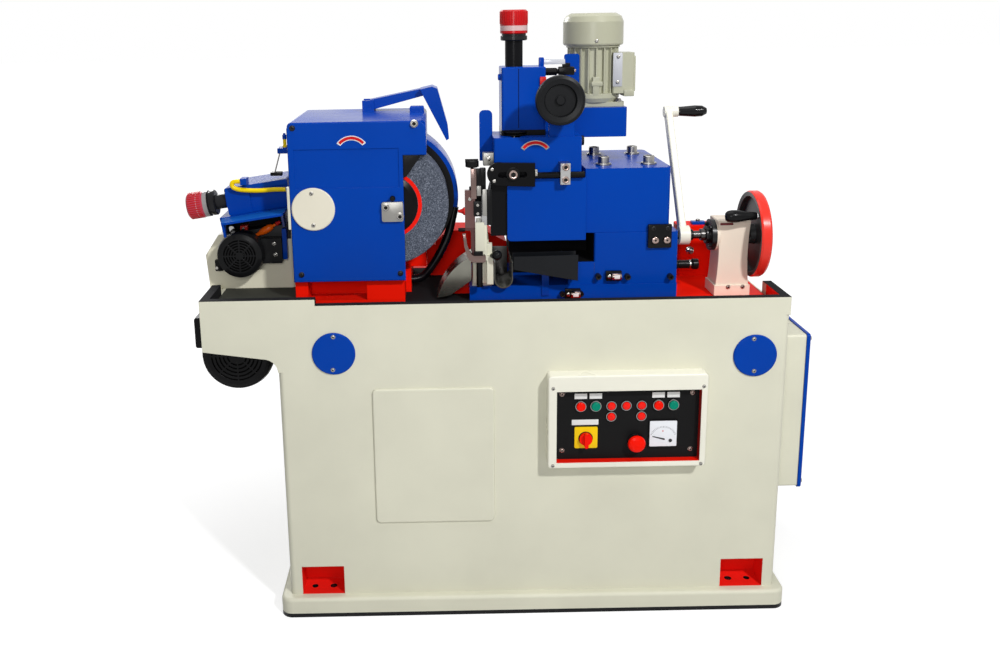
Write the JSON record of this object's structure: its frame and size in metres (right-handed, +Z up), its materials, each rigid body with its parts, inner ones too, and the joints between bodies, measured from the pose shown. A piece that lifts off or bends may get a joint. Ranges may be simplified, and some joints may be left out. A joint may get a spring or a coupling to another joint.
{
  "type": "centreless grinder",
  "caption": "Floor-standing centreless grinder: guarded grinding wheel, regulating wheel head on slides, work rest, wheel dressers, feed handwheel with lever, and control panel.",
  "frame": {"origin": "centre of the base's foot, on the floor", "axes": "X to the right along the machine, Y away from the operator, Z up"},
  "size_m": [1.5874, 0.71, 1.524],
  "materials": {
    "cream_paint": "smooth satin enamel",
    "blue_paint": "gloss enamel",
    "red_paint": "gloss enamel",
    "black_paint": "satin black",
    "steel": "ground steel",
    "bearing_steel": "ground steel",
    "iron": "machined cast iron",
    "belt_rubber": "matt rubber",
    "hose_rubber": "satin rubber",
    "abrasive": "coarse vitrified grain",
    "rubber_bond": "matt rubber bond",
    "yellow_tube": "smooth tube",
    "red_knob": "graduated knob",
    "dark_sheet": "dark painted sheet",
    "motor_paint": "grey-green enamel",
    "black_plastic": "black moulding",
    "red_button": "moulded cap",
    "green_button": "moulded cap"
  },
  "bodies": {
    "machine": {"base_casting": "cream_paint", "inspection_discs": "blue_paint", "bed_casting": "red_paint", "electrical_cabinet": "cream_paint", "cabinet_cover": "blue_paint", "control_box": "cream_paint", "control_plate": "black_paint", "wheelhead_casting": "red_paint", "wheel_guard_body": "blue_paint", "wheel_guard_cover": "blue_paint", "spindle_bearings": "bearing_steel", "drive_belts": "belt_rubber", "belt_guard": "blue_paint", "main_motor": "black_paint", "coolant_hose": "hose_rubber", "dresser_bracket": "cream_paint", "dresser_saddle": "blue_paint", "dresser_motor": "black_paint", "feed_pedestal": "cream_paint"},
    "wheel_rotor": {"grinding_wheel": "abrasive", "wheel_flanges": "steel", "grinding_spindle": "steel"},
    "motor_rotor": {"motor_pulley": "iron"},
    "flap": {"splash_flap": "blue_paint"},
    "wheel_dresser": {"dresser_carriage": "blue_paint", "dresser_hose": "yellow_tube"},
    "wheel_dresser_quill": {"dresser_quill": "steel"},
    "wheel_dresser_knob": {"dresser_knob": "red_knob"},
    "bottom_slide": {"lower_slide": "blue_paint", "work_rest": "cream_paint", "work_blade": "steel", "work_guides": "steel", "discharge_chute": "dark_sheet", "coolant_trough": "steel"},
    "rest_clamp": {"rest_screw": "steel"},
    "top_slide": {"upper_slide": "blue_paint", "regulating_housing": "blue_paint", "regulating_cover": "blue_paint", "dresser_base": "blue_paint", "drive_box": "blue_paint", "drive_motor": "motor_paint"},
    "regulating_rotor": {"regulating_wheel": "rubber_bond", "regulating_spindle": "steel"},
    "worm": {"worm_shaft": "steel"},
    "regulating_dresser": {"reg_dresser_carriage": "blue_paint"},
    "regulating_dresser_quill": {"reg_dresser_quill": "steel"},
    "regulating_dresser_knob": {"reg_dresser_knob": "red_knob"},
    "traverse_wheel": {"dresser_handwheel": "black_plastic"},
    "arm": {"adjusting_arm": "black_paint"},
    "feed_shaft": {"feed_screw": "steel", "feed_handwheel": "red_paint", "crank_lever": "cream_paint"},
    "wheel_handle": {"handwheel_handle": "black_plastic"},
    "lever_grip": {"crank_grip": "black_plastic"},
    "stop_button_a": {"wheel_stop_button": "red_button"},
    "start_button_a": {"wheel_start_button": "green_button"},
    "stop_button_b": {"regulating_stop_button": "red_button"},
    "start_button_b": {"regulating_start_button": "green_button"},
    "mushroom": {"emergency_stop": "red_button"},
    "selector": {"switch_knob": "red_button"}
  },
  "joints": [
    {"name": "wheel_spin", "type": "hinge", "parent": "machine", "child": "wheel_rotor", "pos_m": [-0.352, -0.157, 1.056], "axis": [0, 1, 0], "continuous": true},
    {"name": "motor_spin", "type": "hinge", "parent": "machine", "child": "motor_rotor", "pos_m": [-0.742, 0.15, 0.683], "axis": [0, 1, 0], "continuous": true},
    {"name": "flap_lift", "type": "hinge", "parent": "machine", "child": "flap", "pos_m": [-0.404, 0.065, 1.28], "axis": [0, -1, 0], "range_deg": [0, 70]},
    {"name": "dresser_traverse", "type": "slide", "parent": "machine", "child": "wheel_dresser", "axis": [0, 1, 0], "range_m": [-0.092, 0.015]},
    {"name": "dresser_knob_turn", "type": "hinge", "parent": "wheel_dresser", "child": "wheel_dresser_knob", "pos_m": [-0.80091, -0.095, 1.05141], "axis": [0.9903, 0, 0.1392], "range_deg": [-1152, 576]},
    {"name": "dresser_feed", "type": "slide", "parent": "wheel_dresser", "child": "wheel_dresser_quill", "axis": [0.9903, 0, 0.1392], "range_m": [-0.008, 0.004]},
    {"name": "lower_slide_travel", "type": "slide", "parent": "machine", "child": "bottom_slide", "axis": [1, 0, 0], "range_m": [-0.078, 0.004]},
    {"name": "rest_screw_turn", "type": "hinge", "parent": "bottom_slide", "child": "rest_clamp", "pos_m": [-0.141, -0.229, 1.1], "axis": [0, 0, 1], "range_deg": [-180, 180]},
    {"name": "upper_slide_travel", "type": "slide", "parent": "bottom_slide", "child": "top_slide", "axis": [1, 0, 0], "range_m": [-0.0051, 0.0023]},
    {"name": "regulating_spin", "type": "hinge", "parent": "top_slide", "child": "regulating_rotor", "pos_m": [0.0035, -0.147, 1.056], "axis": [0, 1, 0], "continuous": true},
    {"name": "worm_turn", "type": "hinge", "parent": "top_slide", "child": "worm", "pos_m": [0.096, 0.058, 1.1], "axis": [0, 0, 1], "continuous": true},
    {"name": "traverse_wheel_turn", "type": "hinge", "parent": "top_slide", "child": "traverse_wheel", "pos_m": [0.066, -0.29, 1.313], "axis": [0, 1, 0], "range_deg": [-3481, 2221]},
    {"name": "regulating_dresser_traverse", "type": "slide", "parent": "top_slide", "child": "regulating_dresser", "axis": [0, 1, 0], "range_m": [-0.058, 0.037]},
    {"name": "regulating_knob_turn", "type": "hinge", "parent": "regulating_dresser", "child": "regulating_dresser_knob", "pos_m": [-0.031, -0.135, 1.48], "axis": [0, 0, 1], "range_deg": [-576, 1440]},
    {"name": "regulating_dresser_feed", "type": "slide", "parent": "regulating_dresser", "child": "regulating_dresser_quill", "axis": [0, 0, 1], "range_m": [-0.00401, 0.01001]},
    {"name": "arm_travel", "type": "slide", "parent": "top_slide", "child": "arm", "axis": [1, 0, 0], "range_m": [-0.012, 0.012]},
    {"name": "feed_turn", "type": "hinge", "parent": "machine", "child": "feed_shaft", "pos_m": [0.48, -0.17, 0.957], "axis": [1, 0, 0], "range_deg": [-40, 90]},
    {"name": "handle_spin", "type": "hinge", "parent": "feed_shaft", "child": "wheel_handle", "pos_m": [0.53, -0.2329, 1.01565], "axis": [1, 0, 0], "continuous": true},
    {"name": "grip_spin", "type": "hinge", "parent": "feed_shaft", "child": "lever_grip", "pos_m": [0.44, -0.04433, 1.25889], "axis": [1, 0, 0], "continuous": true},
    {"name": "stop_button_a_press", "type": "slide", "parent": "machine", "child": "stop_button_a", "axis": [0, 1, 0], "range_m": [0, 0.005], "stiffness_N_per_m": 400, "springref_m": -0.002},
    {"name": "start_button_a_press", "type": "slide", "parent": "machine", "child": "start_button_a", "axis": [0, 1, 0], "range_m": [0, 0.005], "stiffness_N_per_m": 400, "springref_m": -0.002},
    {"name": "stop_button_b_press", "type": "slide", "parent": "machine", "child": "stop_button_b", "axis": [0, 1, 0], "range_m": [0, 0.005], "stiffness_N_per_m": 400, "springref_m": -0.002},
    {"name": "start_button_b_press", "type": "slide", "parent": "machine", "child": "start_button_b", "axis": [0, 1, 0], "range_m": [0, 0.005], "stiffness_N_per_m": 400, "springref_m": -0.002},
    {"name": "mushroom_press", "type": "slide", "parent": "machine", "child": "mushroom", "axis": [0, 1, 0], "range_m": [0, 0.004]},
    {"name": "selector_turn", "type": "hinge", "parent": "machine", "child": "selector", "pos_m": [0.1295, -0.345, 0.482], "axis": [0, 1, 0], "range_deg": [0, 90]}
  ],
  "couplings": [
    {"joint": "motor_spin", "follows": "wheel_spin", "ratio": 0.85714},
    {"joint": "worm_turn", "follows": "regulating_spin", "ratio": 8},
    {"joint": "dresser_feed", "follows": "dresser_knob_turn", "m_per_rad": 0.00039789},
    {"joint": "regulating_dresser_feed", "follows": "regulating_knob_turn", "m_per_rad": 0.00039789},
    {"joint": "traverse_wheel_turn", "follows": "regulating_dresser_traverse", "rad_per_m": 1047.2},
    {"joint": "upper_slide_travel", "follows": "feed_turn", "m_per_rad": -0.0031831}
  ]
}
